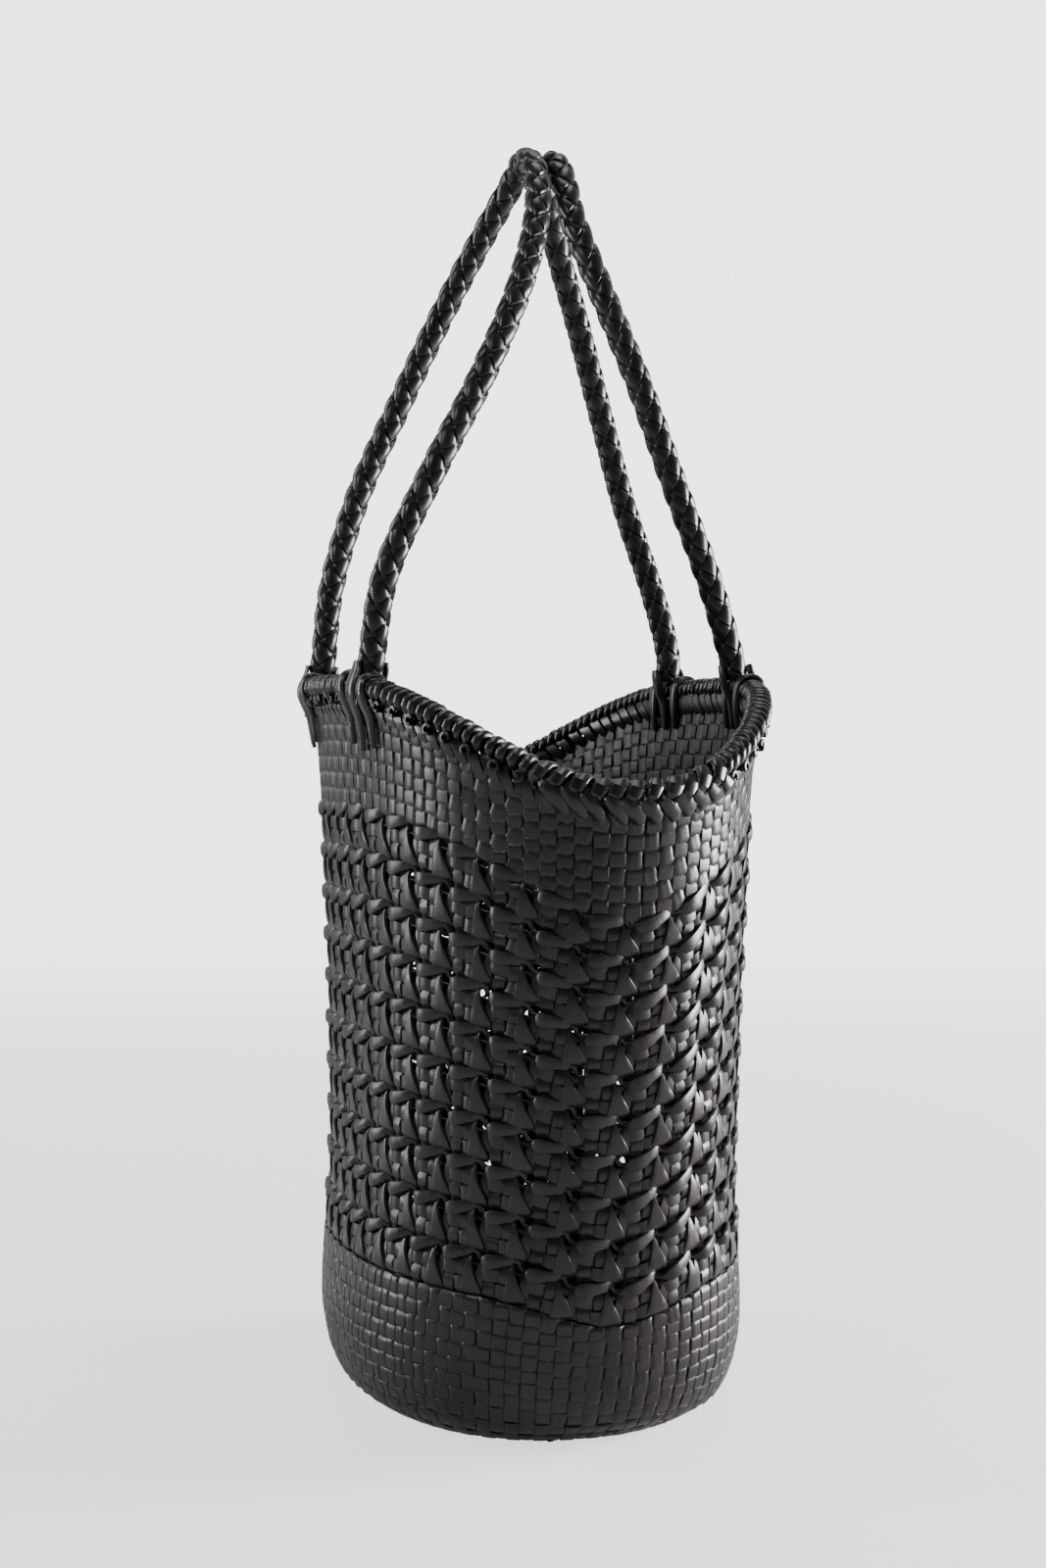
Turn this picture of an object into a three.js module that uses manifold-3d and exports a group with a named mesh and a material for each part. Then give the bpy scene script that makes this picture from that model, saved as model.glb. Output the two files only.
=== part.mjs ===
// Plaited leather basket bag, standing upright with both handles raised.
// Millimetres, +Z up, origin on the ground under the middle of the bag.
// +X runs along the bag's long way to a narrow end, -Y faces the front.
import * as THREE from 'three';
import { mergeVertices } from 'three/addons/utils/BufferGeometryUtils.js';
import Module from 'manifold-3d';

const wasm = await Module();
wasm.setup();

// Body sizes
const bagHeight = 300; // ground to the rim's two peaks
const mouthLength = 274; // outer wall under the rim, narrow end to narrow end
const mouthDepth = 173; // outer wall under the rim, front to back
const saddleDip = 41; // how far the rim drops at the narrow ends
const saddlePower = 3.3; // how flat the rim's peaks are
const dipGrowth = 1.8; // how late the saddle's dip sets in up the wall
const squareness = 2.2; // plan shape: 2 is an oval, more is squarer
const wallThickness = 2.8;
const lowerBandHeight = 64;
const upperBandHeight = 39;
const baseThickness = 3;

// Rim sizes
const rimHeight = 13;
const rimThickness = 9;
const rimProud = 4.5; // how far the rim stands out past the wall
const rimChamfer = 2.5;

// Handle sizes
const ropeDiameter = 11.5;
const handleRise = 219; // rim peak to the middle of the rope at its top
const frontFootSpacing = 86;
const frontFootShift = 5; // how far the front feet's middle lies towards the near end
const backFootSpacing = 80;
const backFootShift = 0;
const footInset = 8; // rim's outer face to the middle of the rope
const loopGap = 12.2; // between the ropes' middles where the two loops meet
const loopShift = 5; // how far the meeting place lies behind the bag's middle

// Strap sizes: the two straps over the rim at each foot of a handle
const strapWidth = 6;
const strapThickness = 1.4;
const strapDropOutside = 26;
const strapDropInside = 22;

// Openwork: small gaps in staggered rows round the tall band
const gapColumns = 22;
const gapRows = 10;
const gapWidth = 5.5;
const gapHeight = 5;
const gapSlant = 0.35; // how far the gap's top leans, as a share of its width

// Clearances between pieces
const seamClearance = 0.35;
const seatClearance = 0.3;
const strapClearance = 0.5;

// Mesh fineness
const columns = 56; // a multiple of 4, so that the bag stays symmetric
const outlineSteps = 2880; // steps in which the mouth's outline is measured
const openworkRows = 4;
const upperRows = 3;
const leastTopStep = 0.1; // least share of the lower band's height between its top two rows
const ropeSides = 10;
const ropeSteps = 44;
const cutterReach = 3; // length of a gap's cutter, in wall thicknesses
const mergeDistance = 0.0001;

// Body sections from the base to the rim. up is a share of the wall's height,
// end and side are shares of the mouth's half length and half depth.
const bodySections = [
  { up: 0.0, end: 0.63, side: 0.78 },
  { up: 0.015, end: 0.68, side: 0.86 },
  { up: 0.032, end: 0.73, side: 0.915 },
  { up: 0.073, end: 0.777, side: 0.96 },
  { up: 0.125, end: 0.807, side: 0.98 },
  { up: 0.21, end: 0.835, side: 0.963 },
  { up: 0.345, end: 0.858, side: 0.922 },
  { up: 0.52, end: 0.9, side: 0.922 },
  { up: 0.78, end: 0.955, side: 0.944 },
  { up: 0.94, end: 0.983, side: 0.972 },
  { up: 1.0, end: 1.0, side: 1.0 },
];

// Handle stations from a foot to the top. up is a share of the rise, wide a share
// of the foot's distance from the middle, and the others are shares of the way from
// the meeting place out to the foot, for the front and back handle's strands by the
// far end (-X) and the near end (+X).
const handleStations = [
  { up: 0.0, wide: 1.0, frontFar: 1.0, frontNear: 1.0, backFar: 1.0, backNear: 1.0 },
  { up: 0.055, wide: 1.0, frontFar: 0.985, frontNear: 0.985, backFar: 1.0, backNear: 0.955 },
  { up: 0.18, wide: 1.08, frontFar: 0.937, frontNear: 0.933, backFar: 0.915, backNear: 0.81 },
  { up: 0.365, wide: 1.15, frontFar: 0.78, frontNear: 0.7, backFar: 0.725, backNear: 0.56 },
  { up: 0.55, wide: 1.12, frontFar: 0.55, frontNear: 0.423, backFar: 0.555, backNear: 0.343 },
  { up: 0.73, wide: 0.95, frontFar: 0.326, frontNear: 0.186, backFar: 0.36, backNear: 0.134 },
  { up: 0.868, wide: 0.7, frontFar: 0.145, frontNear: 0.055, backFar: 0.175, backNear: 0.01 },
  { up: 0.945, wide: 0.46, frontFar: 0.045, frontNear: 0.012, backFar: 0.07, backNear: 0.0 },
  { up: 0.986, wide: 0.24, frontFar: 0.0, frontNear: 0.0, backFar: 0.015, backNear: 0.0 },
];

const handles = [
  { name: 'front', side: -1, spacing: frontFootSpacing, shift: frontFootShift },
  { name: 'back', side: 1, spacing: backFootSpacing, shift: backFootShift },
];

// Colours and finish
const leather = { color: 0x2b2829, roughness: 0.55, metalness: 0 };
const innerLeather = { color: 0x242122, roughness: 0.65, metalness: 0 };
const gloss = { color: 0x1a1819, roughness: 0.35, metalness: 0 };

const wallHeight = bagHeight - rimHeight - seatClearance;
const lowerTop = lowerBandHeight / wallHeight;
const upperBottom = 1 - upperBandHeight / wallHeight;
const seamShare = seamClearance / wallHeight;

// Smooth value of a table's column at a height share, with no overshoot
function smoothAt(table, column, up) {
  let row = 0;
  while (row < table.length - 2 && up > table[row + 1].up) row += 1;
  const slope = (i) => (table[i + 1][column] - table[i][column]) / (table[i + 1].up - table[i].up);
  const tangent = (i) => {
    if (i === 0) return slope(0);
    if (i === table.length - 1) return slope(i - 1);
    const before = slope(i - 1);
    const after = slope(i);
    return before * after > 0 ? (2 * before * after) / (before + after) : 0;
  };
  const step = table[row + 1].up - table[row].up;
  const t = Math.min(Math.max((up - table[row].up) / step, 0), 1);
  const h00 = 2 * t ** 3 - 3 * t ** 2 + 1;
  const h10 = t ** 3 - 2 * t ** 2 + t;
  const h01 = 1 - h00;
  const h11 = t ** 3 - t ** 2;
  return (
    h00 * table[row][column] +
    h10 * step * tangent(row) +
    h01 * table[row + 1][column] +
    h11 * step * tangent(row + 1)
  );
}

// A point of the plan outline, moved inwards along its own normal
function outlinePoint(angle, halfLength, halfDepth, inset) {
  const c = Math.cos(angle);
  const s = Math.sin(angle);
  const x = Math.sign(c) * Math.abs(c) ** (2 / squareness) * halfLength;
  const y = Math.sign(s) * Math.abs(s) ** (2 / squareness) * halfDepth;
  const nx = (Math.sign(x) * Math.abs(x / halfLength) ** (squareness - 1)) / halfLength;
  const ny = (Math.sign(y) * Math.abs(y / halfDepth) ** (squareness - 1)) / halfDepth;
  const length = Math.hypot(nx, ny);
  return { x: x - (inset * nx) / length, y: y - (inset * ny) / length, nx: nx / length, ny: ny / length };
}

// Angles that part the mouth's outline into stretches of equal length
function evenAngles(count) {
  const lengths = [0];
  let last = outlinePoint(0, mouthLength / 2, mouthDepth / 2, 0);
  for (let i = 1; i <= outlineSteps; i += 1) {
    const next = outlinePoint((i / outlineSteps) * 2 * Math.PI, mouthLength / 2, mouthDepth / 2, 0);
    lengths.push(lengths[i - 1] + Math.hypot(next.x - last.x, next.y - last.y));
    last = next;
  }
  const angles = [];
  let i = 0;
  for (let k = 0; k < count; k += 1) {
    const wanted = (k / count) * lengths[outlineSteps];
    while (lengths[i + 1] < wanted) i += 1;
    const part = (wanted - lengths[i]) / (lengths[i + 1] - lengths[i]);
    angles.push(((i + part) / outlineSteps) * 2 * Math.PI);
  }
  return angles;
}

const columnAngles = evenAngles(columns);

// How much of the saddle's dip a place round the bag takes
function dipShare(angle) {
  return Math.abs(Math.cos(angle)) ** ((2 / squareness) * saddlePower);
}

function rimTop(angle) {
  return bagHeight - saddleDip * dipShare(angle);
}

// A point on the wall. up runs from 0 at the ground to 1 under the rim.
function wallPoint(angle, up, inset) {
  const halfLength = (smoothAt(bodySections, 'end', up) * mouthLength) / 2;
  const halfDepth = (smoothAt(bodySections, 'side', up) * mouthDepth) / 2;
  const plan = outlinePoint(angle, halfLength, halfDepth, inset);
  const z = up * wallHeight - saddleDip * dipShare(angle) * up ** dipGrowth;
  return { ...plan, z };
}

// A mesh geometry from corner points and faces given as lists of corner numbers
function polyGeometry(points, faces) {
  const positions = new Float32Array(points.flatMap((p) => [p.x, p.y, p.z]));
  const index = [];
  for (const face of faces) {
    for (let i = 1; i < face.length - 1; i += 1) index.push(face[0], face[i], face[i + 1]);
  }
  const geometry = new THREE.BufferGeometry();
  geometry.setAttribute('position', new THREE.BufferAttribute(positions, 3));
  geometry.setIndex(index);
  geometry.computeVertexNormals();
  return geometry;
}

// A closed ring: each column holds the same section, a loop of points that runs
// anticlockwise with outwards to the right and up upwards
function ringGeometry(sectionAt) {
  const points = [];
  const faces = [];
  const size = sectionAt(columnAngles[0]).length;
  for (const angle of columnAngles) points.push(...sectionAt(angle));
  for (let c = 0; c < columns; c += 1) {
    const here = c * size;
    const next = ((c + 1) % columns) * size;
    for (let k = 0; k < size; k += 1) {
      const up = (k + 1) % size;
      faces.push([here + k, next + k, next + up]);
      faces.push([here + k, next + up, here + up]);
    }
  }
  return polyGeometry(points, faces);
}

// A band of the wall between two height shares
function bandGeometry(from, to, rows) {
  return ringGeometry((angle) => {
    const outer = [];
    const inner = [];
    for (let r = 0; r <= rows; r += 1) {
      const up = from + ((to - from) * r) / rows;
      outer.push(wallPoint(angle, up, 0));
      inner.unshift(wallPoint(angle, up, wallThickness));
    }
    return [...outer, ...inner];
  });
}

// The lower band follows the section table's own rows where the foot is rounded
function lowerBandGeometry() {
  const top = lowerTop - seamShare / 2;
  const levels = bodySections.map((row) => row.up).filter((up) => up < top * (1 - leastTopStep));
  levels.push(top);
  return ringGeometry((angle) => {
    const outer = levels.map((up) => wallPoint(angle, up, 0));
    const inner = levels.map((up) => wallPoint(angle, up, wallThickness)).reverse();
    return [...outer, ...inner];
  });
}

function baseGeometry() {
  const inset = wallThickness + seamClearance;
  const topUp = baseThickness / wallHeight;
  const points = [];
  const faces = [];
  for (const angle of columnAngles) {
    points.push({ ...wallPoint(angle, 0, inset), z: 0 });
    points.push({ ...wallPoint(angle, topUp, inset), z: baseThickness });
  }
  for (let c = 0; c < columns; c += 1) {
    const next = (c + 1) % columns;
    faces.push([2 * c, 2 * next, 2 * next + 1]);
    faces.push([2 * c, 2 * next + 1, 2 * c + 1]);
  }
  const order = columnAngles.map((_, c) => c);
  faces.push(order.map((c) => 2 * c + 1));
  faces.push(order.map((c) => 2 * c).reverse());
  return polyGeometry(points, faces);
}

// Rim section: out is measured from the wall's outer face, up from the rim's top
const rimOut = rimProud;
const rimIn = rimProud - rimThickness;
const rimSection = [
  { out: rimOut - rimChamfer, up: -rimHeight },
  { out: rimOut, up: -rimHeight + rimChamfer },
  { out: rimOut, up: -rimChamfer },
  { out: rimOut - rimChamfer, up: 0 },
  { out: rimIn + rimChamfer, up: 0 },
  { out: rimIn, up: -rimChamfer },
  { out: rimIn, up: -rimHeight + rimChamfer },
  { out: rimIn + rimChamfer, up: -rimHeight },
];

function rimPoint(angle, out, up) {
  const plan = outlinePoint(angle, mouthLength / 2, mouthDepth / 2, -out);
  return { ...plan, z: rimTop(angle) + up };
}

function rimGeometry() {
  return ringGeometry((angle) => rimSection.map((corner) => rimPoint(angle, corner.out, corner.up)));
}

// Angle of the place on the front (-1) or back (+1) of the rim at a given x
function angleAtX(x, side) {
  const share = Math.abs(x) / (mouthLength / 2);
  const c = Math.sign(x) * share ** (squareness / 2);
  return side * Math.acos(c);
}

// Middle of a rope's foot on the rim, just above the highest rim under it
function footPoint(x, side) {
  const angle = angleAtX(x, side);
  const plan = rimPoint(angle, rimProud - footInset, 0);
  const innerX = Math.max(Math.abs(plan.x) - ropeDiameter / 2, 0);
  return { x: plan.x, y: plan.y, z: rimTop(angleAtX(innerX, side)) + seatClearance };
}

// Middle line of one handle, from the far foot over the top to the near foot
function handlePoints(handle) {
  const meeting = loopShift + (handle.side * loopGap) / 2;
  const strand = (column, direction) => {
    const foot = footPoint(handle.shift + (direction * handle.spacing) / 2, handle.side);
    return handleStations.map((row) => {
      const x = row.wide * foot.x;
      const y = meeting + row[column] * (foot.y - meeting);
      const z = foot.z + row.up * (bagHeight + handleRise - foot.z);
      return new THREE.Vector3(x, y, z);
    });
  };
  const top = new THREE.Vector3(0, meeting, bagHeight + handleRise);
  return [...strand(`${handle.name}Far`, -1), top, ...strand(`${handle.name}Near`, 1).reverse()];
}

function handleGeometry(handle) {
  const path = new THREE.CatmullRomCurve3(handlePoints(handle), false, 'centripetal');
  const section = new THREE.Shape();
  for (let k = 0; k < ropeSides; k += 1) {
    const angle = ((k + 0.5) / ropeSides) * 2 * Math.PI;
    const x = (Math.cos(angle) * ropeDiameter) / 2;
    const y = (Math.sin(angle) * ropeDiameter) / 2;
    if (k === 0) section.moveTo(x, y);
    else section.lineTo(x, y);
  }
  section.closePath();
  return new THREE.ExtrudeGeometry(section, { steps: ropeSteps, extrudePath: path, bevelEnabled: false });
}

// A line moved sideways by a distance, with mitred corners
function offsetLine(line, distance) {
  const normal = (a, b) => {
    const length = Math.hypot(b.out - a.out, b.up - a.up);
    return { out: (b.up - a.up) / length, up: -(b.out - a.out) / length };
  };
  return line.map((point, i) => {
    const before = i > 0 ? normal(line[i - 1], point) : normal(point, line[1]);
    const after = i < line.length - 1 ? normal(point, line[i + 1]) : before;
    const scale = distance / (1 + before.out * after.out + before.up * after.up);
    return {
      out: point.out + (before.out + after.out) * scale,
      up: point.up + (before.up + after.up) * scale,
    };
  });
}

// How far the wall's outer face has drawn in at a depth below the rim's top
function wallSetback(drop) {
  const up = 1 - (drop - rimHeight - seatClearance) / wallHeight;
  return ((1 - smoothAt(bodySections, 'side', up)) * mouthDepth) / 2;
}

// Strap section: up over the rim from the outer wall to the inner wall
function strapShape() {
  const overRim = rimSection.slice(1, 7);
  const side = strapClearance;
  const outerFoot = { out: -wallSetback(strapDropOutside), up: -strapDropOutside };
  const innerFoot = { out: -wallSetback(strapDropInside) - wallThickness, up: -strapDropInside };
  const line = [outerFoot, ...overRim, innerFoot];
  const inner = offsetLine(line, side);
  const outer = offsetLine(line, side + strapThickness);
  const corners = [...outer, ...inner.reverse()];
  const shape = new THREE.Shape();
  corners.forEach((corner, i) => {
    if (i === 0) shape.moveTo(corner.out, corner.up);
    else shape.lineTo(corner.out, corner.up);
  });
  shape.closePath();
  return shape;
}

// One strap beside a foot, set square to the rim where it crosses it
function strapMesh(name, x, side) {
  const geometry = new THREE.ExtrudeGeometry(strapShape(), { depth: strapWidth, bevelEnabled: false });
  geometry.translate(0, 0, -strapWidth / 2);
  const angle = angleAtX(x, side);
  const place = rimPoint(angle, 0, 0);
  const reach = strapWidth / 2 / mouthLength;
  const a = rimPoint(angle - reach, 0, 0);
  const b = rimPoint(angle + reach, 0, 0);
  const along = new THREE.Vector3(b.x - a.x, b.y - a.y, b.z - a.z).normalize();
  const outwards = new THREE.Vector3(place.nx, place.ny, 0);
  const upwards = new THREE.Vector3().crossVectors(outwards, along);
  const across = new THREE.Vector3().crossVectors(outwards, upwards);
  const mesh = new THREE.Mesh(geometry, new THREE.MeshStandardMaterial(gloss));
  mesh.name = name;
  mesh.position.set(place.x, place.y, place.z);
  mesh.quaternion.setFromRotationMatrix(new THREE.Matrix4().makeBasis(outwards, upwards, across));
  return mesh;
}

function toSolid(geometry) {
  const plain = geometry.clone();
  plain.deleteAttribute('normal');
  plain.deleteAttribute('uv');
  const merged = mergeVertices(plain, mergeDistance);
  const vertProperties = new Float32Array(merged.attributes.position.array);
  const triVerts = new Uint32Array(merged.index.array);
  return new wasm.Manifold(new wasm.Mesh({ numProp: 3, vertProperties, triVerts }));
}

function toGeometry(solid) {
  const mesh = solid.getMesh();
  const geometry = new THREE.BufferGeometry();
  geometry.setAttribute('position', new THREE.BufferAttribute(new Float32Array(mesh.vertProperties), 3));
  geometry.setIndex(Array.from(mesh.triVerts));
  geometry.computeVertexNormals();
  return geometry;
}

// Cutter for one gap: a slanted four-sided prism that passes through the wall
function gapCutter(angle, up) {
  const reach = wallThickness * cutterReach;
  const outline = new THREE.Shape();
  const lean = gapSlant * gapWidth;
  outline.moveTo(-gapWidth / 2, -lean / 2);
  outline.lineTo(-lean / 2, -gapHeight / 2);
  outline.lineTo(gapWidth / 2, lean / 2);
  outline.lineTo(lean / 2, gapHeight / 2);
  outline.closePath();
  const geometry = new THREE.ExtrudeGeometry(outline, { depth: reach, bevelEnabled: false });
  geometry.translate(0, 0, -reach / 2);
  const middle = wallPoint(angle, up, wallThickness / 2);
  const outwards = new THREE.Vector3(middle.nx, middle.ny, 0);
  const upwards = new THREE.Vector3(0, 0, 1);
  const across = new THREE.Vector3().crossVectors(upwards, outwards);
  const frame = new THREE.Matrix4().makeBasis(across, upwards, outwards);
  frame.setPosition(middle.x, middle.y, middle.z);
  geometry.applyMatrix4(frame);
  return toSolid(geometry);
}

function openworkGeometry() {
  const from = lowerTop + seamShare / 2;
  const to = upperBottom - seamShare / 2;
  let wall = toSolid(bandGeometry(from, to, openworkRows));
  const angles = evenAngles(gapColumns * 2);
  for (let row = 0; row < gapRows; row += 1) {
    const up = from + ((to - from) * (row + 0.5)) / gapRows;
    for (let column = row % 2; column < gapColumns; column += 2) {
      wall = wall.subtract(gapCutter(angles[column * 2 + 1], up));
    }
  }
  return toGeometry(wall);
}

function piece(name, geometry, finish) {
  const mesh = new THREE.Mesh(geometry, new THREE.MeshStandardMaterial(finish));
  mesh.name = name;
  return mesh;
}

const bag = new THREE.Group();
bag.add(piece('woven_base', baseGeometry(), innerLeather));
bag.add(piece('lower_wall', lowerBandGeometry(), leather));
bag.add(piece('openwork_wall', openworkGeometry(), leather));
bag.add(piece('upper_wall', bandGeometry(upperBottom + seamShare / 2, 1, upperRows), leather));
bag.add(piece('rim_braid', rimGeometry(), gloss));

const strapReach = ropeDiameter / 2 + strapClearance + strapWidth / 2;
for (const handle of handles) {
  bag.add(piece(`handle_${handle.name}`, handleGeometry(handle), gloss));
  for (const [endName, end] of [['far', -1], ['near', 1]]) {
    for (const [edgeName, edge] of [['outer', 1], ['inner', -1]]) {
      const x = handle.shift + end * (handle.spacing / 2 + edge * strapReach);
      bag.add(strapMesh(`strap_${handle.name}_${endName}_${edgeName}`, x, handle.side));
    }
  }
}

export default bag;
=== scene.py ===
"""Tall basket bag plaited from black leather strips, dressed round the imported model.

Metres, +Z up. The wall's strips are laid on the bag's outer face, which is a function
of two shares: the way round from the near narrow end (+X) and the height.
"""

import math
from collections import namedtuple

import bpy
import numpy as np
from mathutils import Matrix, Vector


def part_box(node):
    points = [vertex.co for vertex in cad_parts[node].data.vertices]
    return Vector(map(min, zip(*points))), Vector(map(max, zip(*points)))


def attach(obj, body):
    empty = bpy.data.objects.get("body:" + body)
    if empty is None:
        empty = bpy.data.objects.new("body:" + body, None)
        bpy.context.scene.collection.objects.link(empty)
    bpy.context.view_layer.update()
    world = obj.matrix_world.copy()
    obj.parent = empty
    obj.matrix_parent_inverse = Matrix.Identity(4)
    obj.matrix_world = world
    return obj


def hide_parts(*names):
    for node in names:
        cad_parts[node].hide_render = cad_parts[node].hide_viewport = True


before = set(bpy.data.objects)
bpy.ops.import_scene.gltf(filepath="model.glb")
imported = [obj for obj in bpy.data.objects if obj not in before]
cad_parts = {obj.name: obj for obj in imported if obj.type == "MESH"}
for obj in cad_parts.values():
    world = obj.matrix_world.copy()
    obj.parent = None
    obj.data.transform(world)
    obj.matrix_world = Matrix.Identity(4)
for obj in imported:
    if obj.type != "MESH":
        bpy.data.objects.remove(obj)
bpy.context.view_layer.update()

MM = 0.001
draw = np.random.default_rng(11)

# Driving sizes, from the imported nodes
wall_low, wall_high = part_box("upper_wall")
rim_low, rim_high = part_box("rim_braid")
RIM_HEIGHT = 13 * MM
HALF_LENGTH = wall_high.x
HALF_DEPTH = wall_high.y
WALL_HEIGHT = wall_high.z
BAG_HEIGHT = rim_high.z
SADDLE_DIP = BAG_HEIGHT - RIM_HEIGHT - rim_low.z
ROPE_RADIUS = 5.75 * MM
ROPE_CORNER = math.radians(18)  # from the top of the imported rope's section to its nearest corner
ROPE_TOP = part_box("handle_front")[1].z - ROPE_RADIUS * math.cos(ROPE_CORNER)
OPEN_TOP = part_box("openwork_wall")[1].z / WALL_HEIGHT
OPEN_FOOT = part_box("lower_wall")[1].z / WALL_HEIGHT

# Shape of the body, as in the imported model
SQUARENESS = 2.2
SADDLE_POWER = 3.3
DIP_GROWTH = 1.8
Section = namedtuple("Section", "up end side")
BODY_SECTIONS = (
    Section(0.0, 0.63, 0.78),
    Section(0.015, 0.68, 0.86),
    Section(0.032, 0.73, 0.915),
    Section(0.073, 0.777, 0.96),
    Section(0.125, 0.807, 0.98),
    Section(0.21, 0.835, 0.963),
    Section(0.345, 0.858, 0.922),
    Section(0.52, 0.9, 0.922),
    Section(0.78, 0.955, 0.944),
    Section(0.94, 0.983, 0.972),
    Section(1.0, 1.0, 1.0),
)

# Pattern: units round the bag, three stakes to a unit, and rows down the wall
UNITS = 36
STAKES = 3 * UNITS
UPPER_ROWS = 6
OPEN_ROWS = 10
LOWER_ROWS = 10
OPEN_PITCH = (OPEN_TOP - OPEN_FOOT) / OPEN_ROWS
END_DROP = 0.04  # how much lower the rows run at the two narrow ends
END_SPREAD = 0.045  # share of the way round over which that drop fades
MIDDLE_OUT = -1.3 * MM  # middle of the woven wall, from its outer face
STRIP_THICKNESS = 1.25 * MM

# Sections of a strip: across as a share of its half width, rise as a share of its thickness
FLAT_SECTION = np.array([
    (-1.0, -0.5), (-1.0, 0.26), (-0.9, 0.47), (-0.4, 0.54),
    (0.4, 0.54), (0.9, 0.47), (1.0, 0.26), (1.0, -0.5),
])
DOMED_SECTION = np.array([
    (-1.0, -0.5), (-1.0, -0.1), (-0.84, 0.36), (-0.36, 0.72),
    (0.36, 0.72), (0.84, 0.36), (1.0, -0.1), (1.0, -0.5),
])
BEAD_SECTION = (FLAT_SECTION + DOMED_SECTION) / 2
SECTION_POINTS = 8
LAST_CORNER = math.radians(-158)  # of the round section
round_angle = LAST_CORNER + np.arange(SECTION_POINTS)[::-1] * 2 * math.pi / SECTION_POINTS
ROUND_SECTION = np.stack([np.cos(round_angle), np.sin(round_angle)], -1)


def smooth_column(rows, column, up):
    """Monotone cubic through a table's column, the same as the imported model's."""
    ups = np.array([row.up for row in rows])
    values = np.array([getattr(row, column) for row in rows])
    steps = np.diff(ups)
    slopes = np.diff(values) / steps
    before, after = slopes[:-1], slopes[1:]
    both = before + after
    safe = np.where(both == 0, 1, both)
    inner = np.where(before * after > 0, 2 * before * after / safe, 0)
    tangents = np.concatenate([slopes[:1], inner, slopes[-1:]])
    up = np.clip(up, 0, 1)
    k = np.clip(np.searchsorted(ups, up, side="right") - 1, 0, len(steps) - 1)
    t = (up - ups[k]) / steps[k]
    h00 = 2 * t**3 - 3 * t**2 + 1
    h10 = t**3 - 2 * t**2 + t
    h11 = t**3 - t**2
    start = h00 * values[k] + h10 * steps[k] * tangents[k]
    return start + (1 - h00) * values[k + 1] + h11 * steps[k] * tangents[k + 1]


def plan(angle, half_length, half_depth):
    """Point of a superellipse at an angle."""
    c, s = np.cos(angle), np.sin(angle)
    x = np.sign(c) * np.abs(c) ** (2 / SQUARENESS) * half_length
    y = np.sign(s) * np.abs(s) ** (2 / SQUARENESS) * half_depth
    return x, y


def even_angles(shares):
    """Angles at shares of the mouth's length, counted from the near end."""
    fine = np.linspace(0, 2 * math.pi, 2881)
    x, y = plan(fine, HALF_LENGTH, HALF_DEPTH)
    length = np.concatenate([[0], np.cumsum(np.hypot(np.diff(x), np.diff(y)))])
    return np.interp(np.mod(shares, 1) * length[-1], length, fine)


def dip_share(angle):
    """Share of the rim's dip: 0 on the long sides and 1 at the narrow ends."""
    return np.abs(np.cos(angle)) ** (2 / SQUARENESS * SADDLE_POWER)


class Wall:
    """The outer face and its normals on a fine lattice."""

    def __init__(self, around=1440, rows=400):
        self.around = around
        self.rows = rows
        angle = even_angles(np.arange(around) / around)[None, :]
        up = np.linspace(0, 1, rows + 1)[:, None]
        half_length = HALF_LENGTH * smooth_column(BODY_SECTIONS, "end", up)
        half_depth = HALF_DEPTH * smooth_column(BODY_SECTIONS, "side", up)
        x, y = plan(angle, half_length, half_depth)
        z = up * WALL_HEIGHT - SADDLE_DIP * dip_share(angle) * up**DIP_GROWTH
        self.place = np.stack([x, y, z], -1)
        round_way = np.roll(self.place, -1, 1) - np.roll(self.place, 1, 1)
        up_way = np.gradient(self.place, axis=0)
        normal = np.cross(round_way, up_way)
        self.normal = normal / np.linalg.norm(normal, axis=-1, keepdims=True)

    def sample(self, share, up):
        """Places and normals at shares of the way round and of the height."""
        i = np.mod(share, 1) * self.around
        j = np.clip(up, 0, 1) * self.rows
        i0 = np.floor(i).astype(int)
        j0 = np.minimum(np.floor(j).astype(int), self.rows - 1)
        fi = (i - i0)[..., None]
        fj = (j - j0)[..., None]
        i0 = i0 % self.around
        i1 = (i0 + 1) % self.around

        def mix(field):
            low = field[j0, i0] * (1 - fi) + field[j0, i1] * fi
            high = field[j0 + 1, i0] * (1 - fi) + field[j0 + 1, i1] * fi
            return low * (1 - fj) + high * fj

        return mix(self.place), mix(self.normal)


wall = Wall()


def end_drop(share):
    """The rows sink near both narrow ends, at shares 0 and 0.5."""
    away = np.abs(np.mod(share + 0.25, 0.5) - 0.25)
    return END_DROP * np.exp(-((away / END_SPREAD) ** 2))


def upper_height(share, row):
    return 1 - (1 - OPEN_TOP + end_drop(share)) * row / UPPER_ROWS


def open_height(share, row):
    return OPEN_TOP - end_drop(share) - row * OPEN_PITCH


def lower_height(share, row):
    return open_height(share, OPEN_ROWS) * (1 - row / LOWER_ROWS)


def unit_vectors(v):
    return v / np.maximum(np.linalg.norm(v, axis=-1, keepdims=True), 1e-12)


def new_object(name, data):
    """An object for a mesh, a camera or a light, linked into the scene."""
    made = bpy.data.objects.new(name, data)
    bpy.context.scene.collection.objects.link(made)
    return made


SHARP_ANGLE = math.radians(36)
FLOOR_GAP = 0.2 * MM


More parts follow.
